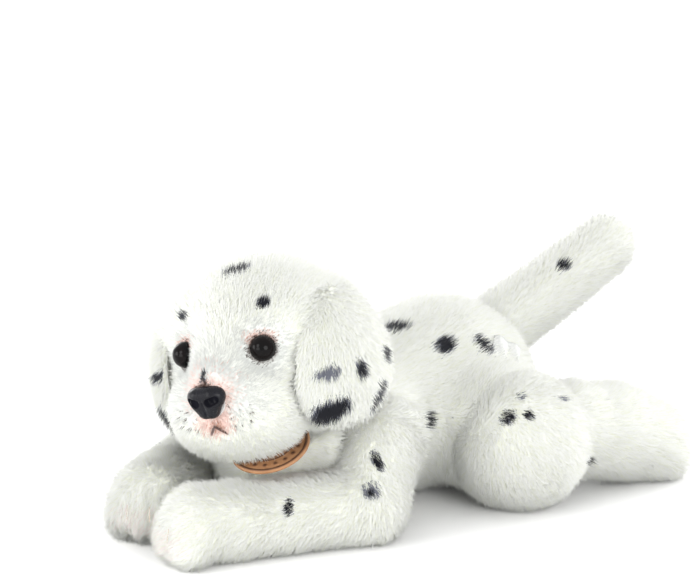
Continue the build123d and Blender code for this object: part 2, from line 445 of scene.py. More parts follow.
def rest_on_floor(points):
    """Press the underside flat, softly."""
    height = points[:, 2] - FLOOR_REST
    pressed = FLOOR_SOFT * np.exp(np.minimum(height, FLOOR_SOFT) / FLOOR_SOFT - 1)
    points[:, 2] = FLOOR_REST + np.where(height < FLOOR_SOFT, pressed, height)
    return points


# ---------------------------------------------------------------- creases of the paws

TOE_ANGLES = (-21, 21)      # degrees from the paw's own direction to each crease
TOE_CREASE = 2.6 * MM
TOE_CREASE_WIDTH = 7.0      # degrees
TOE_FRONT = 14 * MM         # a crease is at its full depth this far ahead of the paw's middle


def toe_grooves(points, centre, ahead):
    """Two grooves over the front of a paw, as a push along the inward normal."""
    across = unit(np.cross(ahead, [0, 0, 1]))
    offset = points - centre
    front = np.clip(offset @ ahead / TOE_FRONT, 0, 1)
    side_angle = np.degrees(np.arctan2(offset @ across, np.maximum(offset @ ahead, 1e-6)))
    total = sum(np.exp(-((side_angle - angle) / TOE_CREASE_WIDTH) ** 2) for angle in TOE_ANGLES)
    return total * front * TOE_CREASE


paws = {}
for side, name in side_name.items():
    elbow, paw = arm_points(side)
    paws[f"front_leg_{name}"] = (paw, unit(paw - elbow))
    foot = shapes[f"hind_leg_{name}"].cones[1]
    heading = foot.end - foot.start
    paws[f"hind_leg_{name}"] = (foot.end, unit([heading[0], heading[1], 0]))


# ---------------------------------------------------------------- materials

def principled(name, colour, roughness=0.9, **sockets):
    material = bpy.data.materials.new(name)
    material.use_nodes = True
    shader = material.node_tree.nodes["Principled BSDF"]
    shader.inputs["Base Color"].default_value = (*colour, 1)
    shader.inputs["Roughness"].default_value = roughness
    for socket, value in sockets.items():
        shader.inputs[socket.replace("_", " ")].default_value = value
    return material


fur_colours = {
    "white": (0.902, 0.917, 0.862),
    "bright": (0.935, 0.947, 0.903),
    "cream": (0.87, 0.89, 0.76),
    # painted shade: a greyer white for the short face pile, which would otherwise render brighter than the
    # rest of the pile
    "milk": (0.70, 0.715, 0.685),
    "grey": (0.20, 0.21, 0.25),
    "black": (0.014, 0.015, 0.021),
    "pink": (0.79, 0.57, 0.51),
    "blush": (0.93, 0.85, 0.81),
    "rust": (0.52, 0.25, 0.17),
    "umber": (0.055, 0.030, 0.024),
}
tone = {name: number for number, name in enumerate(fur_colours)}
fur_materials = [
    principled(f"fur_{name}", colour, 0.85, Sheen_Weight=0.25, Sheen_Roughness=0.5, Specular_IOR_Level=0.2)
    for name, colour in fur_colours.items()
]


class Graph:
    """A material whose colour, roughness and bump come from nodes."""

    def __init__(self, name, roughness=0.5, **sockets):
        self.material = principled(name, (0.5, 0.5, 0.5), roughness, **sockets)
        self.nodes = self.material.node_tree.nodes
        self.links = self.material.node_tree.links
        self.shader = self.nodes["Principled BSDF"]
        self.place = self.nodes.new("ShaderNodeTexCoord").outputs["Object"]

    def texture(self, kind, output, scale, **inputs):
        node = self.nodes.new(f"ShaderNodeTex{kind}")
        node.inputs["Scale"].default_value = scale
        for socket, value in inputs.items():
            node.inputs[socket].default_value = value
        self.links.new(self.place, node.inputs["Vector"])
        return node.outputs[output]

    def noise(self, scale, detail=3.0):
        return self.texture("Noise", "Fac", scale, Detail=detail)

    def cells(self, scale):
        return self.texture("Voronoi", "Distance", scale)

    def attribute(self, name, output="Fac"):
        node = self.nodes.new("ShaderNodeAttribute")
        node.attribute_name = name
        return node.outputs[output]

    def ramp(self, value, *stops):
        """Stops are positions with a colour, or with one number for a grey."""
        node = self.nodes.new("ShaderNodeValToRGB")
        elements = node.color_ramp.elements
        while len(elements) < len(stops):
            elements.new(0.5)
        for element, (position, colour) in zip(elements, stops):
            element.position = position
            element.color = (*np.broadcast_to(colour, 3), 1)
        self.links.new(value, node.inputs["Fac"])
        return node.outputs["Color"]

    def mix(self, factor, first, second):
        node = self.nodes.new("ShaderNodeMix")
        node.data_type = "RGBA"
        for socket, value in (("Factor", factor), ("A", first), ("B", second)):
            self.links.new(value, node.inputs[socket])
        return node.outputs["Result"]

    def bump(self, height, strength, distance):
        node = self.nodes.new("ShaderNodeBump")
        node.inputs["Strength"].default_value = strength
        node.inputs["Distance"].default_value = distance
        self.links.new(height, node.inputs["Height"])
        self.set("Normal", node.outputs["Normal"])

    def set(self, socket, value):
        self.links.new(value, self.shader.inputs[socket])

    def vary(self, socket, value, *stops):
        self.set(socket, self.ramp(value, *stops))


def cloth_material(name, colour, deep):
    """Knitted backing seen between the hairs: fine mottling of two tones under the dye of the spots and, on
    the face, painted shade.
    """
    cloth = Graph(name, 0.95, Sheen_Weight=0.2, Specular_IOR_Level=0.1)
    mottle = cloth.noise(420)
    tones = cloth.ramp(mottle, (0.35, deep), (0.65, colour))
    # the spots' dye, and on the head painted shade
    dye = cloth.attribute("tint", "Color")
    cloth.set("Base Color", cloth.mix(cloth.attribute("tint_amount"), tones, dye))
    cloth.bump(mottle, 0.3, 0.4 * MM)
    return cloth.material


def thread_material(name, deep, light):
    thread = Graph(name, Sheen_Weight=0.3)
    thread.vary("Base Color", thread.noise(900, 2.0), (0.35, deep), (0.65, light))
    thread.vary("Roughness", thread.noise(500), (0.3, 0.6), (0.7, 0.8))
    thread.bump(thread.noise(1600), 0.5, 0.2 * MM)
    return thread.material


BACKING_WHITE = (0.91, 0.925, 0.83)
skin_material = cloth_material("plush_backing", BACKING_WHITE, (0.86, 0.875, 0.74))
lining_material = cloth_material("ear_lining_cloth", (0.90, 0.89, 0.86), (0.78, 0.76, 0.71))
mouth_thread = thread_material("mouth_thread", (0.035, 0.016, 0.012), (0.11, 0.055, 0.042))
toe_thread = thread_material("toe_thread", (0.62, 0.52, 0.42), (0.76, 0.66, 0.56))

eye_gloss = Graph("eye_gloss", Specular_IOR_Level=0.12)
eye_gloss.vary("Base Color", eye_gloss.attribute("radial"), (0.0, 0.003), (0.60, (0.004, 0.003, 0.003)),
               (0.80, (0.006, 0.004, 0.004)), (0.95, 0.003))
eye_gloss.vary("Roughness", eye_gloss.noise(60), (0.3, 0.05), (0.7, 0.09))

nose_gloss = Graph("nose_gloss", Specular_IOR_Level=0.28)
nose_gloss.vary("Base Color", nose_gloss.noise(90),
                (0.3, (0.005, 0.005, 0.007)), (0.7, (0.011, 0.011, 0.015)))
nose_gloss.vary("Roughness", nose_gloss.noise(300), (0.3, 0.22), (0.7, 0.32))
# painted shade: no gloss in the nostrils and the groove, so they read darker
nose_gloss.vary("Specular IOR Level", nose_gloss.attribute("hollow"), (0.1, 0.20), (0.6, 0.0))
nose_gloss.bump(nose_gloss.noise(700), 0.12, 0.1 * MM)

leather = Graph("tag_leather", Specular_IOR_Level=0.35)
tan = leather.ramp(leather.noise(120, 5.0), (0.25, (0.29, 0.135, 0.058)), (0.75, (0.41, 0.215, 0.105)))
brown = leather.ramp(leather.noise(200, 4.0), (0.25, (0.050, 0.020, 0.010)), (0.75, (0.10, 0.042, 0.020)))
leather.set("Base Color", leather.mix(leather.attribute("raised"), tan, brown))
leather.vary("Roughness", leather.cells(900), (0.0, 0.75), (0.6, 0.52))
leather.bump(leather.cells(1300), 0.35, 0.15 * MM)

satin = Graph("label_satin_weave", Sheen_Weight=0.1, Specular_IOR_Level=0.3)
satin.vary("Base Color", satin.noise(600), (0.3, (0.56, 0.57, 0.55)), (0.7, (0.70, 0.71, 0.69)))
satin.vary("Roughness", satin.noise(900), (0.3, 0.32), (0.7, 0.48))
satin.bump(satin.texture("Wave", "Fac", 900), 0.25, 0.08 * MM)

plastic = Graph("natural_plastic", Transmission_Weight=0.3)
plastic.vary("Base Color", plastic.noise(200), (0.3, (0.80, 0.80, 0.79)), (0.7, (0.90, 0.90, 0.89)))
plastic.vary("Roughness", plastic.noise(400), (0.3, 0.30), (0.7, 0.45))


# ---------------------------------------------------------------- face places

SHORTEST_PILE = 2.3         # round the nose, in millimetres
EYE_CLEAR = 7.4 * MM        # radius under each eye where no hair grows
NOSE_BARE = np.array([0, -74, -17])             # middle of the bare place under the nose
NOSE_BARE_SIZE = np.array([10.5, 9.0, 8.5])     # its half widths
nose_seat = on_head(0, -72.5, -17.0)


def eye_front(side):
    """Where an eye sits on the cranium, and the way it looks."""
    outward = unit(middle(f"eye_{side_name[side]}") - head_centre)
    return head_centre + outward * CRANIUM_RADIUS, outward


def from_eye(points, side):
    return np.linalg.norm(points - eye_front(side)[0], axis=1)


def face_clear(points, normals):
    """No hair grows under the eyes or the nose."""
    clear = (((head_frame(points) - NOSE_BARE) / NOSE_BARE_SIZE) ** 2).sum(axis=1) > 1
    for side in (1, -1):
        clear &= from_eye(points, side) > EYE_CLEAR
    return clear


def head_length(points):
    """Short pile round the nose and the eyes, longer over the crown and the jaw."""
    from_nose = np.linalg.norm(points - nose_seat, axis=1) / MM
    length = SHORTEST_PILE + 4.6 * np.clip((from_nose - 14) / 42, 0, 1)
    for side in (1, -1):
        near = from_eye(points, side) / MM
        length = np.minimum(length, 2.0 + 4.8 * np.clip((near - 9) / 16, 0, 1))
    return length * MM


# ---------------------------------------------------------------- spots and airbrushed tints

SPOT_SPREAD = 1.08          # the dyed pile splays a little beyond the printed oval
SPOT_REACH = 16 * MM        # a spot doesn't dye what lies farther through the body
spots = {}                  # lists of spots by body, the later ones over the earlier


class Spot:
    """An oval patch of dyed pile round a place on a body, lying along a direction."""

    def __init__(self, body, place, size, along, shade="black", ragged=0.32, share=1.0):
        self.place = place
        self.half = [extent / 2 * MM * SPOT_SPREAD for extent in size]
        self.out = cloth_normal(body, place)
        self.along = unit(along - self.out * np.dot(along, self.out))
        self.across = np.cross(self.out, self.along)
        self.shade = shade
        self.ragged = ragged
        self.share = share
        spots.setdefault(body, []).append(self)

    def depth(self, points):
        """1 in the middle, 0 on the edge, negative outside."""
        offset = points - self.place
        far = np.abs(offset @ self.out) > SPOT_REACH
        u = offset @ self.along / self.half[0]
        v = offset @ self.across / self.half[1]
        return np.where(far, -9, 1 - np.hypot(u, v))


def cloth_normal(body, place):
    if body.startswith("ear"):
        return head_left * (1 if body == "ear_left" else -1)
    return gradient(shapes[body].distance, place[None])[0]


def dye(body, place, size, along=(0, 1, 0), *look):
    """A spot in millimetres: the head's own on the head and the ears, the whole dog's elsewhere."""
    if body.startswith(("head", "ear")):
        Spot(body, on_head(*place), size, HEAD_AXES @ np.array(along, float), *look)
    else:
        Spot(body, in_mm(*place), size, along, *look)


# the spots of every body: place, length and width, direction, and a shade where it isn't black
dyed_pile = {
    "head": (
        ((0, -21, 55), (17, 9), (1, 0.5, 0)), ((27, -38, 35), (7.5, 8), (0, 0, 1)),
        ((-31, -38, 30), (6, 7.5), (0, 0, 1)), ((-20, 30, 45), (13, 9), (0.4, 1, 0)),
        ((24, 38, 36), (9, 11), (0, 1, -0.5)), ((4, 55, 12), (12, 9), (1, 0, 0.3)),
    ),
    "ear_left": (
        ((66, -35, -13), (11, 7.5), (0, 1, 0.2), "grey"), ((70, -14, -15), (8.5, 11), (0, 1, 0.3)),
        ((70, 16, -11), (9, 10), (0, 1, 0.3)), ((62, -31, -36), (19, 14), (0, 1, 0.1)),
        ((67, 5, -34), (19, 10), (0, 0.6, 1)),
    ),
    "ear_right": (
        ((-64, -42, -6), (9, 7), (0, 1, -0.4)), ((-64, -38, -32), (17, 11), (0, 0.3, -1)),
        ((-69, -10, -20), (13, 9), (0, 1, 0.2)), ((-66, 16, -32), (12, 14)),
        ((-64, 12, 10), (10, 8), (0, 1, 0.5)),
    ),
    "torso": (
        ((8, 12, 103), (17, 10), (0.4, 1, 0)), ((34, 28, 94), (14, 11), (-0.3, 1, 0.2)),
        ((41, 51, 90), (15, 7), (0.6, 0.1, -1)), ((50, -2, 56), (11, 9), (0, 0.3, 1)),
        ((-38, 34, 90), (15, 11), (0.5, 1, 0)), ((-48, 2, 74), (12, 10), (0, 1, 0.3)),
        ((-30, -18, 84), (10, 8), (1, 0.4, 0)), ((-36, 74, 88), (11, 9)),
        ((8, 100, 62), (10, 8), (1, 0, 0)),
    ),
    "hind_leg_left": (
        ((95, 24, 64), (10.5, 9)), ((103, 34, 65), (7, 6)), ((92, 37, 74), (6, 5.5), (0, 1, 0), "grey"),
        ((100, 64, 69), (8, 4), (0, 1, 0), "grey"), ((104, 84, 24), (8, 6)),
    ),
    "hind_leg_right": (
        ((-104, 30, 62), (12, 9)), ((-100, 62, 68), (9, 8)), ((-92, 26, 30), (9, 11)),
        ((-98, 104, 52), (10, 8)),
    ),
    "tail": (((14, 138, 118), (8.5, 8)), ((-14, 120, 98), (8, 10)), ((-16, 156, 114), (9, 7))),
    "front_leg_left": (
        ((79, -63, 50), (13, 6.5), (1, -0.2, -0.2)), ((88, -75, 37), (12, 10), (0, 1, 0), "grey"),
        ((89, -76, 36), (6, 5)), ((72, -126, 34), (12, 5.5), (0.1, 0.2, 1)),
    ),
    "front_leg_right": (
        ((-88, -70, 36), (11, 9)), ((-62, -60, 66), (10, 8)), ((-66, -116, 38), (9, 7)),
    ),
}
for body, rows in dyed_pile.items():
    for row in rows:
        dye(body, *row)

# airbrushed tints round the nose and the mouth, then round the eyes, the whisker dots and the paws
ACROSS = (1, 0, 0)
for place, *look in (
    ((0, -71, -16), (34, 29), ACROSS, "pink", 0.8, 0.5),
    ((0, -71, -15), (27, 23), ACROSS, "pink", 0.4, 0.8),
    ((0, -71, -15.5), (24, 20), ACROSS, "rust", 0.5, 0.22),
    ((0, -69, -31), (25, 20), ACROSS, "pink", 0.5, 0.95),
    ((0, -69, -34), (11, 7), ACROSS, "rust", 0.6, 0.55),
    ((0, -71, -5), (4, 14), ACROSS, "black", 0.5),
    ((0, -71, -9), (13, 6), ACROSS, "umber", 0.5),
):
    dye("head", place, *look)
for side in (1, -1):
    eye_place = head_frame(eye_front(side)[0])
    dye("head", eye_place + np.array([0, 0, 5]), (19, 13), ACROSS, "pink", 0.6, 0.7)
    dye("head", eye_place + np.array([0, 0, 4]), (17, 12), ACROSS, "rust", 0.6, 0.5)
    dye("head", eye_place, (17.8, 17.4), ACROSS, "umber", 0.35)
    for across, height in ((12, -22), (19, -23.5), (25.5, -22), (13, -29), (20.5, -28.5), (27.5, -28),
                           (13.5, -36), (20, -35), (26.5, -33.5)):
        dye("head", (side * across, -70, height), (3.0, 1.6), (side, 0, 0.25), "umber", 0.3, 0.75)
    leg = f"front_leg_{side_name[side]}"
    paw, ahead = paws[leg]
    Spot(leg, paw + ahead * 22 * MM - in_mm(0, 0, 10), (32, 16), ACROSS, "blush", 0.9, 0.45)


def face_painted_shade(points):
    """Painted shade on the face: 1 where the pile is clipped shortest above the jaw, where its white is
    painted greyer, and 0 over the rest of the head.
    """
    shortness = 1 - (head_length(points) / MM - SHORTEST_PILE) / 3.6
    above_jaw = np.clip((head_frame(points)[:, 2] + 40) / 16, 0, 1)
    return np.clip(1.3 * shortness * above_jaw, 0, 1)


CREAM_SHARE = 0.20
BRIGHT_SHARE = 0.55
# legs get more bright hairs: painted light that lifts them out of the shade they sit in
BRIGHT_SHARE_OF_LEGS_AS_PAINTED_LIGHT = 0.75
SPOT_RIM = 0.14             # the outer part of a black spot where the dye is thin


def tint_of(body, points, jitter):
    """The colour number of every hair on a body, from a place on it and three random numbers."""
    # painted light: a larger share of bright hairs on the legs
    bright_share = BRIGHT_SHARE_OF_LEGS_AS_PAINTED_LIGHT if "leg" in body else BRIGHT_SHARE
    colour = np.full(len(points), tone["white"])
    colour[jitter[:, 0] > 1 - bright_share] = tone["bright"]
    colour[jitter[:, 0] < CREAM_SHARE] = tone["cream"]
    if body == "head":
        # painted shade on the short face pile: no bright hairs there, and a share of greyer white
        short = face_painted_shade(points)
        colour[short > 0.05] = tone["white"]
        colour[jitter[:, 0] < short] = tone["milk"]
    for spot in spots[body]:
        depth = spot.depth(points) + (jitter[:, 1] - 0.5) * spot.ragged
        dyed = (depth > 0) & (jitter[:, 2] < spot.share)
        colour[dyed] = tone[spot.shade]
        if spot.shade == "black":
            colour[dyed & (depth < SPOT_RIM)] = tone["grey"]
    return colour


def dye_and_shade_backing(piece, body):
    """The dye of the spots on the cloth that shows between the hairs, and on the head painted shade: a
    greyer backing where the face pile is short.
    """
    points = mesh_points(piece.data)
    tint = np.ones((len(points), 4))
    # painted shade: the head's backing takes the greyer white where the face pile is short
    tint[:, :3] = fur_colours["milk"] if body == "head" else BACKING_WHITE
    amount = face_painted_shade(points) if body == "head" else np.zeros(len(points))
    for spot in spots[body]:
        strength = np.clip(spot.depth(points) * 3, 0, 1) * spot.share
        blend = strength[:, None]
        tint[:, :3] = tint[:, :3] * (1 - blend) + np.array(fur_colours[spot.shade]) * blend
        amount = np.maximum(amount, strength)
    tints = piece.data.attributes.new("tint", "FLOAT_COLOR", "POINT")
    tints.data.foreach_set("color", tint.astype(np.float32).ravel())
    set_layer(piece, "tint_amount", amount)


# ---------------------------------------------------------------- fur

HAIRS_PER_MM2 = 1.45
HAIRS_PER_PIECE = 48000
HAIR_WIDTH = 0.30 * MM
HAIR_ROOT = 0.6 * MM        # how far a hair starts below the cloth
HAIR_FACES = np.array([[1, 0, 3], [2, 1, 3], [0, 2, 3], [0, 1, 2]])
HAIR_FLOOR = 0.2 * MM       # no hair reaches lower than this
BARE_UNDERSIDE = FLOOR_REST + 0.3 * MM          # no hair grows lower than this
SWIRL = 0.30                # spread of the combed directions, in radians
STRAY_SHARE = 0.08          # hairs that stand up out of the comb
STRAY_RISE = 22             # degrees
DYED_AT = 0.68              # the part of a hair's length that decides its colour


def surface_samples(piece, count_per_mm2, generator):
    """Random places all over a piece, with their normals."""
    mesh = piece.data
    mesh.calc_loop_triangles()
    corners = np.empty(len(mesh.loop_triangles) * 3, np.int32)
    mesh.loop_triangles.foreach_get("vertices", corners)
    corners = corners.reshape(-1, 3)
    points = mesh_points(mesh)
    normals = mesh_normals(mesh)
    a, b, c = (points[corners[:, k]] for k in range(3))
    area = np.linalg.norm(np.cross(b - a, c - a), axis=1) / 2
    total = int(area.sum() / MM ** 2 * count_per_mm2)
    chosen = generator.choice(len(area), total, p=area / area.sum())
    u = generator.random(total)
    v = generator.random(total)
    flip = u + v > 1
    u[flip], v[flip] = 1 - u[flip], 1 - v[flip]
    weights = np.stack([1 - u - v, u, v], axis=1)[:, :, None]
    place = (points[corners[chosen]] * weights).sum(axis=1)
    normal = (normals[corners[chosen]] * weights).sum(axis=1)
    normal /= np.linalg.norm(normal, axis=1, keepdims=True)
    return place, normal


def build_hairs(name, roots, normals, directions, lengths, widths, colours, body, slot):
    """Every hair is a slim closed spike of four faces. Its shading follows the cloth that it grows from."""
    sideways = row_unit(np.cross(directions, normals))
    upward = row_unit(np.cross(sideways, directions))
    base = roots - normals * HAIR_ROOT
    width = widths[:, None]
    corners = np.stack([
        base + sideways * width,
        base - sideways * width * 0.5 + upward * width * 0.87,
        base - sideways * width * 0.5 - upward * width * 0.87,
        roots + directions * lengths[:, None],
    ], axis=1)
    corners[:, :, 2] = np.maximum(corners[:, :, 2], HAIR_FLOOR)
    for start in range(0, len(roots), HAIRS_PER_PIECE):
        part = slice(start, start + HAIRS_PER_PIECE)
        points = corners[part].reshape(-1, 3)
        hairs = np.arange(len(points) // 4)
        faces = (HAIR_FACES[None] + 4 * hairs[:, None, None]).reshape(-1, 3)
        mesh = bpy.data.meshes.new(name)
        mesh.vertices.add(len(points))
        mesh.vertices.foreach_set("co", points.astype(np.float32).ravel())
        mesh.loops.add(len(faces) * 3)
        mesh.loops.foreach_set("vertex_index", faces.astype(np.int32).ravel())
        mesh.polygons.add(len(faces))
        mesh.polygons.foreach_set("loop_start", np.arange(0, len(faces) * 3, 3, dtype=np.int32))
        mesh.polygons.foreach_set("material_index", np.repeat(colours[part], 4).astype(np.int32))
        mesh.polygons.foreach_set("use_smooth", np.ones(len(faces), bool))
        mesh.update(calc_edges=True)
        shading = row_unit(normals[part] * 0.85 + directions[part] * 0.25)
        mesh.normals_split_custom_set_from_vertices(np.repeat(shading, 4, axis=0).tolist())
        for material in fur_materials:
            mesh.materials.append(material)
        piece = new_object(f"{name}_{start // HAIRS_PER_PIECE + 1}", mesh)
        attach(piece, body)


def covered(body, points, allowance):
    """True where another body's cloth lies over a hair root."""
    hidden = np.zeros(len(points), bool)
    for other, shape in shapes.items():
        if body in shapes and other != body:
            hidden |= shape.distance(points) < -allowance
    return hidden


def comb(normals, flow, generator):
    """The way every hair lies on the cloth: along the flow, with a little disorder."""
    tangent = row_unit(flow - normals * (flow * normals).sum(axis=1, keepdims=True))
    angle = generator.normal(0, SWIRL, len(normals))[:, None]
    return tangent * np.cos(angle) + np.cross(normals, tangent) * np.sin(angle)


def under_tag(points):
    """True in the thin room that the round tag fills."""
    height, reach = tag_room.spans(points)
    return (np.abs(height) < TAG_HEADROOM) & (reach < TAG_RADIUS + TAG_SWEEP)


def grow_fur(body, piece, flow, length, seed, lift=36, density=HAIRS_PER_MM2, keep_root=None,
             slot="white_fur", under_neighbour=1.5):
    """Hair all over a piece. It also grows some way in under a neighbour that a joint can draw aside."""
    generator = np.random.default_rng(seed)
    roots, normals = surface_samples(piece, density, generator)
    keep = ~covered(body, roots, under_neighbour * MM) & (roots[:, 2] > BARE_UNDERSIDE)
    if keep_root is not None:
        keep &= keep_root(roots, normals)
    roots, normals = roots[keep], normals[keep]
    count = len(roots)
    tangent = comb(normals, flow(roots), generator)
    stray = generator.random(count) < STRAY_SHARE
    rise = np.radians(lift + generator.normal(0, 8, count) + stray * STRAY_RISE)[:, None]
    directions = tangent * np.cos(rise) + normals * np.sin(rise)
    lengths = length(roots) * generator.uniform(0.8, 1.15, count)
    widths = HAIR_WIDTH * generator.uniform(0.8, 1.25, count)
    jitter = generator.random((count, 3))
    reach = directions * lengths[:, None]
    free = ~under_tag(roots + reach) & ~under_tag(roots)
    colours = tint_of(body, roots + reach * DYED_AT, jitter)
    hairs = [values[free] for values in (roots, normals, directions, lengths, widths, colours)]
    build_hairs(f"fur_{piece.name}", *hairs, body, slot)


def toward(direction):
    direction = unit(direction)
    return lambda points: np.tile(direction, (len(points), 1))


def even_length(millimetres):
    return lambda points: np.full(len(points), millimetres * MM)


# ---------------------------------------------------------------- skins

VOXEL = 4 * MM
skins = {}
for name, shape in shapes.items():
    skin = rough_union(f"plush_{name}", shape.cones + getattr(shape, "jaw", []), VOXEL)
    fit_to(skin, shape.hollowed)
    points = mesh_points(skin.data)
    points += mesh_normals(skin.data) * uneven(points)[:, None]
    if name in paws:
        points -= mesh_normals(skin.data) * toe_grooves(points, *paws[name])[:, None]
    if name not in ("head", "tail"):
        points = rest_on_floor(points)
    set_points(skin.data, points)
    smooth(skin)
    dye_and_shade_backing(skin, name)
    skin.data.materials.append(skin_material)
    skins[name] = skin


def head_flow(points):
    """The pile runs back from the nose over the whole head."""
    return row_unit(points - nose_seat) + head_back * 0.3 - head_up * 0.15


RUMP_START = 40 * MM        # where along the trunk its pile begins to turn down
RUMP_LENGTH = 45 * MM
LOWER_LEG_START = 14 * MM   # how far ahead of a hip or shoulder the pile begins to turn along the leg
LOWER_LEG_TURN = 34 * MM


def trunk_flow(points):
    """The pile runs back along the trunk and down over the rump."""
    behind = np.clip((points[:, 1:2] - RUMP_START) / RUMP_LENGTH, 0, 1)
    return np.array([0, 1, -0.35]) * (1 - behind) + np.array([0, 0.1, -1]) * behind


def leg_flow(name):
    """The pile runs down the upper leg and then along the lower leg to the paw."""
    _, ahead = paws[name]
    root = shapes[name].cones[0].start
    outward = 0.5 if name.endswith("left") else -0.5
    down = unit([outward, 0.45 if name.startswith("hind") else -0.1, -0.8])
    forward = ahead - np.array([0, 0, 0.35])

    def flow(points):
        lower = np.clip(((points - root) @ ahead - LOWER_LEG_START) / LOWER_LEG_TURN, 0, 1)[:, None]
        return down * (1 - lower) + forward * lower

    return flow


for name, skin in skins.items():
    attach(skin, name)
    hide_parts(f"{name}_skin", f"{name}_stuffing")

grow_fur("torso", skins["torso"], trunk_flow, even_length(7.5), 11)
grow_fur("tail", skins["tail"], toward(shapes["tail"].cones[0].end - tail_root), even_length(7.5), 12,
         under_neighbour=4)
grow_fur("head", skins["head"], head_flow, head_length, 13,
         density=HAIRS_PER_MM2 * 1.15, keep_root=face_clear)
for number, name in enumerate(paws):
    grow_fur(name, skins[name], leg_flow(name), even_length(7.0), 14 + number, under_neighbour=14)


# ---------------------------------------------------------------- ears

EAR_BOW = 73                # radius of the ball that both layers of an ear follow, in millimetres
EAR_BALL = (-8, -1, -8)     # the ball's centre on the head, its x counted towards the ear's own side
EAR_MIDDLE = (-5, -4.5)     # the flap's middle along the head's Y and Z
EAR_THICKNESS = 5.6
LINING_THICKNESS = 3.6
EAR_GAP = 0.15              # half the space between the layers
EAR_CURL = 5.5              # how far the front edge turns in
EAR_RINGS = 26
EAR_SPOKES = 96


def ear_outline(angle):
    """The flap's edge along the head's Y and Z: narrow at the seam, full and swept forward below."""
    fullness = 1 - 0.19 * np.sin(angle)
    upward = 39.5 * np.sin(angle)
    return 37.0 * fullness * np.cos(angle) + 0.17 * np.minimum(upward, 0), upward


def ear_layer(side, outward):
    """One closed pad between the shared bowed surface and its own puffed face."""
    rings = np.linspace(0, 1, EAR_RINGS) ** 0.8
    across, upward = ear_outline(np.linspace(0, 2 * np.pi, EAR_SPOKES, endpoint=False))
    thickness, gap = (EAR_THICKNESS, EAR_GAP) if outward else (-LINING_THICKNESS, -EAR_GAP)
    ball_x, ball_y, ball_z = EAR_BALL

    def placed(y, z, bow):
        x = ball_x + np.sqrt(bow ** 2 - (y - ball_y) ** 2 - (z - ball_z) ** 2)
        return np.stack(np.broadcast_arrays(side * x, y, z), axis=-1).reshape(-1, 3)

    points = []
    for face in (1, 0):
        for ring in rings[1:] if face else rings[1:-1]:
            y = EAR_MIDDLE[0] + across * ring
            z = EAR_MIDDLE[1] + upward * ring
            rise = thickness * np.sqrt(np.maximum(1 - ring ** 3.2, 0)) * face
            curl = EAR_CURL * np.clip((-14 - y) / 32, 0, 1) ** 2
            wave = (1.3 * np.sin((z + 44) / 13.0) + 1.0 * np.cos(y / 11.0)) * ring ** 2 - curl
            points.append(placed(y, z, EAR_BOW + rise + wave + gap))
        points.append(placed(*EAR_MIDDLE, EAR_BOW + thickness * face + gap))
    top_rings = EAR_RINGS - 1
    low_rings = EAR_RINGS - 2
    top_pole = top_rings * EAR_SPOKES
    low_start = top_pole + 1
    low_pole = low_start + low_rings * EAR_SPOKES
    rim = (top_rings - 1) * EAR_SPOKES
    last = low_start + (low_rings - 1) * EAR_SPOKES
    faces = []
    for k in range(EAR_SPOKES):
        n = (k + 1) % EAR_SPOKES
        faces.append((top_pole, k, n))
        faces.append((low_pole, low_start + n, low_start + k))
        faces += strip(0, EAR_SPOKES, k, top_rings)
        faces += [quad[::-1] for quad in strip(low_start, EAR_SPOKES, k, low_rings)]
        faces.append((rim + k, last + k, last + n, rim + n))
    if (side > 0) != outward:
        faces = [face[::-1] for face in faces]
    return head_centre + (np.concatenate(points) * MM) @ HEAD_AXES.T, faces


def ear_flow(points):
    """The pile hangs down an ear and spreads a little towards its edges."""
    spread = (head_frame(points)[:, 1:2] - EAR_MIDDLE[0]) / 40 * head_back
    return -head_up + spread * 0.8


def ear_face(side, outward):
    """Hair of the outer layer goes round its rim. Hair of the lining keeps to its inner face."""

    def grows(roots, normals):
        facing = normals @ (head_left * side)
        return facing > -0.45 if outward else facing < 0.3

    return grows


for side in (1, -1):
    body = f"ear_{side_name[side]}"
    for layer in ("fur", "lining"):
        outward = layer == "fur"
        pad_name = f"{body}_{layer}_pad"
        pad = smooth(new_object(pad_name, mesh_from(pad_name, *ear_layer(side, outward))))
        dye_and_shade_backing(pad, body)
        pad.data.materials.append(skin_material if outward else lining_material)
        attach(pad, body)
        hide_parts(f"{body}_{layer}")
        keep_root = ear_face(side, outward)
        if outward:
            grow_fur(body, pad, ear_flow, even_length(8.0), 31 + side, 29, HAIRS_PER_MM2 * 1.25, keep_root)
        else:
            grow_fur(body, pad, ear_flow, even_length(4.6), 41 + side, 34, 1.0, keep_root, "ear_lining")


# ---------------------------------------------------------------- small parts

def basis(normal, towards):
    """Columns: across, up and out of a face, from its normal and a direction that should point up."""
    normal = unit(normal)
    upward = unit(np.asarray(towards) - normal * np.dot(towards, normal))
    return np.stack([np.cross(upward, normal), upward, normal], axis=1)


def turned(name, centre, axes, profile, spokes=72):
    """A closed solid turned about the third axis from (radius, height) pairs that start and end on it."""
    inner = profile[1:-1]
    angle = np.linspace(0, 2 * np.pi, spokes, endpoint=False)
    rings = [
        np.stack([radius * np.cos(angle), radius * np.sin(angle), np.full(spokes, height)], axis=1)
        for radius, height in inner
    ]
    local = np.concatenate([[[0, 0, profile[0][1]]], *rings, [[0, 0, profile[-1][1]]]])
    last = len(local) - 1
    faces = []
    for k in range(spokes):
        n = (k + 1) % spokes
        faces.append((0, 1 + k, 1 + n))
        faces += strip(1, spokes, k, len(inner))
        faces.append((last, last - spokes + n, last - spokes + k))
    return smooth(new_object(name, mesh_from(name, centre + local @ axes.T, faces))), local


def finish_piece(piece, body, material, node):
    piece.data.materials.append(material)
    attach(piece, body)
    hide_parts(node)


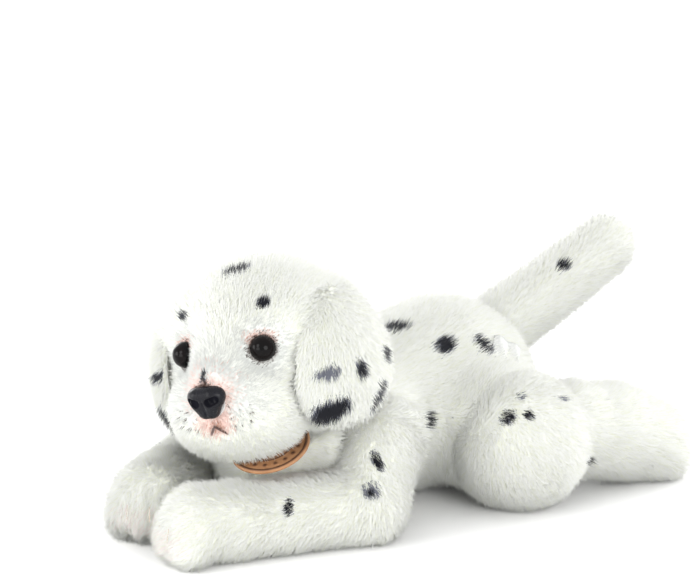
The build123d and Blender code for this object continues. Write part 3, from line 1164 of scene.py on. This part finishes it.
EYE_BALL = 7.8 * MM         # radius of the glossy dome
EYE_SUNK = -2.6 * MM        # the dome's middle, below the cloth
EYE_BASE = EYE_SUNK - 3 * MM
dome_profile = [(0, EYE_BASE), (EYE_BALL * 0.6, EYE_BASE), (EYE_BALL * 0.93, EYE_BASE + 0.5 * MM)]
for angle in np.radians(range(-12, 90, 3)):
    dome_profile.append((EYE_BALL * math.cos(angle), EYE_SUNK + EYE_BALL * math.sin(angle)))
dome_profile.append((0, EYE_SUNK + EYE_BALL))
for side, name in side_name.items():
    place, outward = eye_front(side)
    dome, local = turned(f"eye_dome_{name}", place, basis(outward, head_up), dome_profile)
    set_layer(dome, "radial", np.linalg.norm(local[:, :2], axis=1) / EYE_BALL)
    finish_piece(dome, "head", eye_gloss.material, f"eye_{name}")

# the nose: two full wings over a narrow lower lip, with nostrils and a groove under them
nose_axes = np.stack([head_left, head_up, -head_back], axis=1)


def on_nose(x, z, out):
    return nose_seat + nose_axes @ in_mm(x, z, out)


class NoseShape(Shape):
    """A solid with softly rounded hollows cut into it."""

    def __init__(self, cones, blend, hollows):
        super().__init__(cones, blend)
        self.hollows = hollows

    def distance(self, points):
        field = super().distance(points)
        for hollow in self.hollows:
            field = -melt(-field, hollow.distance(points), 1.2 * MM)
        return field


nostrils = [
    Cone(on_nose(side * 4.6, -0.6, 6.5), 2.3 * MM, on_nose(side * 8.4, 0.8, 4.8), 2.0 * MM)
    for side in (1, -1)
]
groove = Cone(on_nose(0, -1.0, 7.4), 0.9 * MM, on_nose(0, -10, 4.8), 1.2 * MM)
nose_shape = NoseShape([
    Cone(on_nose(-6.6, 2.6, 0), 5.9 * MM, on_nose(6.6, 2.6, 0), 5.9 * MM),
    Cone(on_nose(-4, 3.4, 2.2), 5.2 * MM, on_nose(4, 3.4, 2.2), 5.2 * MM),
    Cone(on_nose(-4, -1, 0.5), 6.2 * MM, on_nose(-2.2, -5.8, -0.4), 5.0 * MM),
    Cone(on_nose(4, -1, 0.5), 6.2 * MM, on_nose(2.2, -5.8, -0.4), 5.0 * MM),
], 2.0 * MM, [*nostrils, groove])
nose_button = rough_union("nose_button", nose_shape.cones, 0.6 * MM)
fit_to(nose_button, nose_shape.distance, 3)
smooth(nose_button)
points = mesh_points(nose_button.data)
# how near each point lies to the nostrils and the groove, where the nose's gloss is taken out as painted
# shade
nearest = np.min([np.abs(hollow.distance(points)) for hollow in nose_shape.hollows], axis=0)
set_layer(nose_button, "hollow", np.clip(1 - nearest / (0.7 * MM), 0, 1))
finish_piece(nose_button, "head", nose_gloss.material, "nose")


def tube(name, path, radius, sides=8):
    """A round thread along a path of row-frame points, with closed ends."""
    path = np.asarray(path, float)
    last = len(path) - 1
    points = []
    for k, centre in enumerate(path):
        axes = basis(path[min(k + 1, last)] - path[max(k - 1, 0)], [0.31, 0.2, 0.93])
        taper = radius * (0.55 if k in (0, last) else 1)
        for angle in 2 * math.pi * np.arange(sides) / sides:
            points.append(centre + axes @ np.array([math.cos(angle) * taper, math.sin(angle) * taper, 0]))
    faces = [tuple(range(sides))[::-1], tuple(range(last * sides, len(path) * sides))]
    for low in range(0, last * sides, sides):
        for k in range(sides):
            n = (k + 1) % sides
            faces.append((low + k, low + n, low + sides + n, low + sides + k))
    return smooth(new_object(name, mesh_from(name, points, faces)))


def over_cloth(body, start, direction, lift):
    """March from a place towards a body until a little above its backing cloth."""
    place = np.array(start, float)
    direction = unit(direction)
    for _ in range(60):
        gap = shapes[body].distance(place[None])[0] - lift
        if abs(gap) < 0.02 * MM:
            break
        place = place + direction * gap
    return place


half_mouth = [(7.6, -39.8), (5.8, -38.4), (3.8, -36.6), (1.8, -34.6)]
other_half = [(-across, height) for across, height in half_mouth[::-1]]
mouth_path = []
for across, height in [*half_mouth, (0, -33.0), *other_half]:
    proud = (2.2 - 0.42 * abs(across)) * MM
    mouth_path.append(over_cloth("head", on_head(across, -95, height), head_back, proud))
mouth_stitch = tube("mouth_thread_stitch", mouth_path, 0.8 * MM)
finish_piece(mouth_stitch, "head", mouth_thread, "mouth_stitch")

STITCH_FLOOR = 2 * MM       # the lowest that a toe thread runs
for name, (centre, ahead) in paws.items():
    across = unit(np.cross(ahead, [0, 0, 1]))
    stitches = []
    for turn in np.radians(TOE_ANGLES):
        outward = ahead * math.cos(turn) + across * math.sin(turn)
        path = []
        for lean in np.radians(range(-22, 6, 4)):
            aim = outward * math.cos(lean) + np.array([0, 0, math.sin(lean)])
            path.append(over_cloth(name, centre + aim * 60 * MM, -aim, 1.2 * MM))
        path = [(x, y, max(z, STITCH_FLOOR)) for x, y, z in path]
        stitches.append(tube(f"toe_stitch_{name}", path, 0.4 * MM))
    both, other = stitches
    bm = bmesh.new()
    bm.from_mesh(both.data)
    bm.from_mesh(other.data)
    bm.to_mesh(both.data)
    bm.free()
    bpy.data.objects.remove(other)
    finish_piece(smooth(both), name, toe_thread, f"toe_threads_{name.replace('_leg', '')}")

TAG_DOTS = 18
TAG_DOT_RING = 18.2         # millimetres from the tag's middle


def tag_face(x, y):
    """Raised, darker parts of the tag, from 0 to 1: two rings, a ring of dots and a plain paw mark."""
    radius = np.hypot(x, y)
    raised = [np.exp(-((radius - middle) / width) ** 4) for middle, width in ((22.3, 0.8), (14.2, 0.55))]
    for angle in 2 * math.pi * (np.arange(TAG_DOTS) + 0.5) / TAG_DOTS:
        dot = np.hypot(x - TAG_DOT_RING * math.cos(angle), y - TAG_DOT_RING * math.sin(angle))
        raised.append(np.exp(-(dot / 1.35) ** 4))
    toe_pads = [(side * away, up, 1.9, 2.5) for side in (-1, 1) for away, up in ((6.6, 1.6), (2.5, 5.2))]
    for place_x, place_y, half_x, half_y in [(0, -3.0, 5.0, 4.0), *toe_pads]:
        raised.append(np.exp(-np.hypot((x - place_x) / half_x, (y - place_y) / half_y) ** 6))
    return np.max(raised, axis=0)


TAG_HALF = 1 * MM           # half the tag's thickness
TAG_EDGE = 0.6 * MM         # width of its rounded edge
TAG_EMBOSS = 0.5 * MM
tag_axes = basis(tag_normal, tag_pin - tag_centre)
tag_profile = [(0, -TAG_HALF), (TAG_RADIUS - TAG_EDGE, -TAG_HALF), (TAG_RADIUS, -TAG_HALF / 2)]
tag_profile.append((TAG_RADIUS, TAG_HALF / 2))
tag_profile += [(TAG_RADIUS - TAG_EDGE - k * 0.38 * MM, TAG_HALF) for k in range(61)]
tag_profile.append((0, TAG_HALF))
tag_piece, local = turned("round_tag_disc", tag_centre, tag_axes, tag_profile, 160)
raised = np.where(local[:, 2] > TAG_HALF * 0.9, tag_face(local[:, 0] / MM, local[:, 1] / MM), 0)
local[:, 2] += raised * TAG_EMBOSS
set_points(tag_piece.data, tag_centre + local @ tag_axes.T)
set_layer(tag_piece, "raised", np.clip(raised * 1.2, 0, 1))
finish_piece(tag_piece, "tag", leather.material, "round_tag")

# the care label: a satin strip folded in two, its cut ends sewn into the seam beside the tail
LABEL_WIDTH = 16 * MM
LABEL_LENGTH = 19 * MM
LABEL_LAYER = 0.45 * MM     # half the space between the strip's two layers
LABEL_THICKNESS = 0.16 * MM
LABEL_STEPS = 22
LABEL_COLUMNS = 9
LABEL_OUT = unit([0.80, 0.20, 0.56])
LABEL_LEAN = unit([0.30, 0.72, -0.62])
label_root = over_cloth("torso", in_mm(43, 56, 89) + LABEL_OUT * 30 * MM, -LABEL_OUT, 1.5 * MM)


def label_strip():
    """The strip runs out from the seam, bends over at the fold and comes back under itself."""
    across = unit(np.cross(LABEL_OUT, LABEL_LEAN))
    t = np.linspace(0, 1, LABEL_STEPS + 1)[:, None]
    bend = 1 - np.exp(-t * 5.0)
    profile = LABEL_LENGTH * t * (LABEL_OUT * (1 - bend * 0.75) + LABEL_LEAN * bend * 0.9)
    lift = row_unit(np.cross(across, np.gradient(profile, axis=0)))
    loop = np.concatenate([profile + lift * LABEL_LAYER, (profile - lift * LABEL_LAYER)[::-1]])
    points = []
    for row, place in enumerate(loop):
        step = min(row, len(loop) - 1 - row)
        for u in np.linspace(-0.5, 0.5, LABEL_COLUMNS):
            crumple = 0.8 * MM * math.sin(step * 0.55 + u * 4.0) * min(step / 4, 1)
            points.append(label_root + place + across * u * LABEL_WIDTH + lift[step] * crumple)
    corners = [
        row * LABEL_COLUMNS + column for row in range(len(loop) - 1) for column in range(LABEL_COLUMNS - 1)
    ]
    return points, [(a, a + 1, a + LABEL_COLUMNS + 1, a + LABEL_COLUMNS) for a in corners]


label = new_object("care_label_strip", mesh_from("care_label_strip", *label_strip()))
solidify = label.modifiers.new("cloth", "SOLIDIFY")
solidify.thickness = LABEL_THICKNESS
smooth(applied(label))
finish_piece(label, "torso", satin.material, "care_label")

for node, carried in frame["nodes"].items():
    if "washer" in node or node == "tag_pin":
        carried.data.materials.clear()
        carried.data.materials.append(plastic.material)


# ---------------------------------------------------------------- camera, floor and light

CAMERA_AZIMUTH = math.radians(50)
CAMERA_ELEVATION = math.radians(17)
CAMERA_DISTANCE = 8.0
CAMERA_LENS = 691.2         # millimetres, over a 36 mm sensor
back = np.array([
    math.sin(CAMERA_AZIMUTH) * math.cos(CAMERA_ELEVATION),
    -math.cos(CAMERA_AZIMUTH) * math.cos(CAMERA_ELEVATION),
    math.sin(CAMERA_ELEVATION),
])
right = np.array([math.cos(CAMERA_AZIMUTH), math.sin(CAMERA_AZIMUTH), 0])
up = np.cross(back, right)
target = right * -0.0140 + up * 0.1177
place = target + back * CAMERA_DISTANCE
camera_data = bpy.data.cameras.new("camera")
camera_data.sensor_width = 36
camera_data.lens = CAMERA_LENS
camera = new_object("camera", camera_data)
camera.matrix_world = Matrix([*zip(right, up, back, place), (0, 0, 0, 1)])
scene.camera = camera

corners = [(-6, -6, 0), (6, -6, 0), (6, 6, 0), (-6, 6, 0)]
floor = new_object("floor", mesh_from("floor", corners, [(0, 1, 2, 3)]))
floor.data.materials.append(principled("floor_white", (0.98, 0.98, 0.98), 0.9, Specular_IOR_Level=0.1))

world = bpy.data.worlds.new("studio")
world.use_nodes = True
background = world.node_tree.nodes["Background"]
background.inputs["Color"].default_value = (1, 1, 1, 1)
background.inputs["Strength"].default_value = 1.0
scene.world = world
scene.view_settings.view_transform = "Standard"


def area_light(name, place, aim, size, power):
    data = bpy.data.lights.new(name, "AREA")
    data.shape = "DISK"
    data.size = size
    data.energy = power
    light = new_object(name, data)
    light.location = place
    direction = Vector(aim) - Vector(place)
    light.rotation_euler = direction.to_track_quat("-Z", "Y").to_euler()


area_light("key", (0.0, -1.9, 1.2), (0, 0, 0.06), 0.9, 9)
area_light("low_front", (0.3, -2.2, 0.3), (0, -0.1, 0.03), 1.2, 12)
area_light("low_side", (-1.3, -1.9, 0.3), (0, -0.1, 0.03), 1.2, 14)
area_light("fill", (1.8, -0.5, 0.7), (0, 0, 0.06), 1.2, 16)
area_light("back", (0.2, 2.1, 0.7), (0, 0, 0.06), 1.2, 19)
area_light("far_side", (-2.0, 0.5, 0.6), (0, 0, 0.06), 1.2, 19)
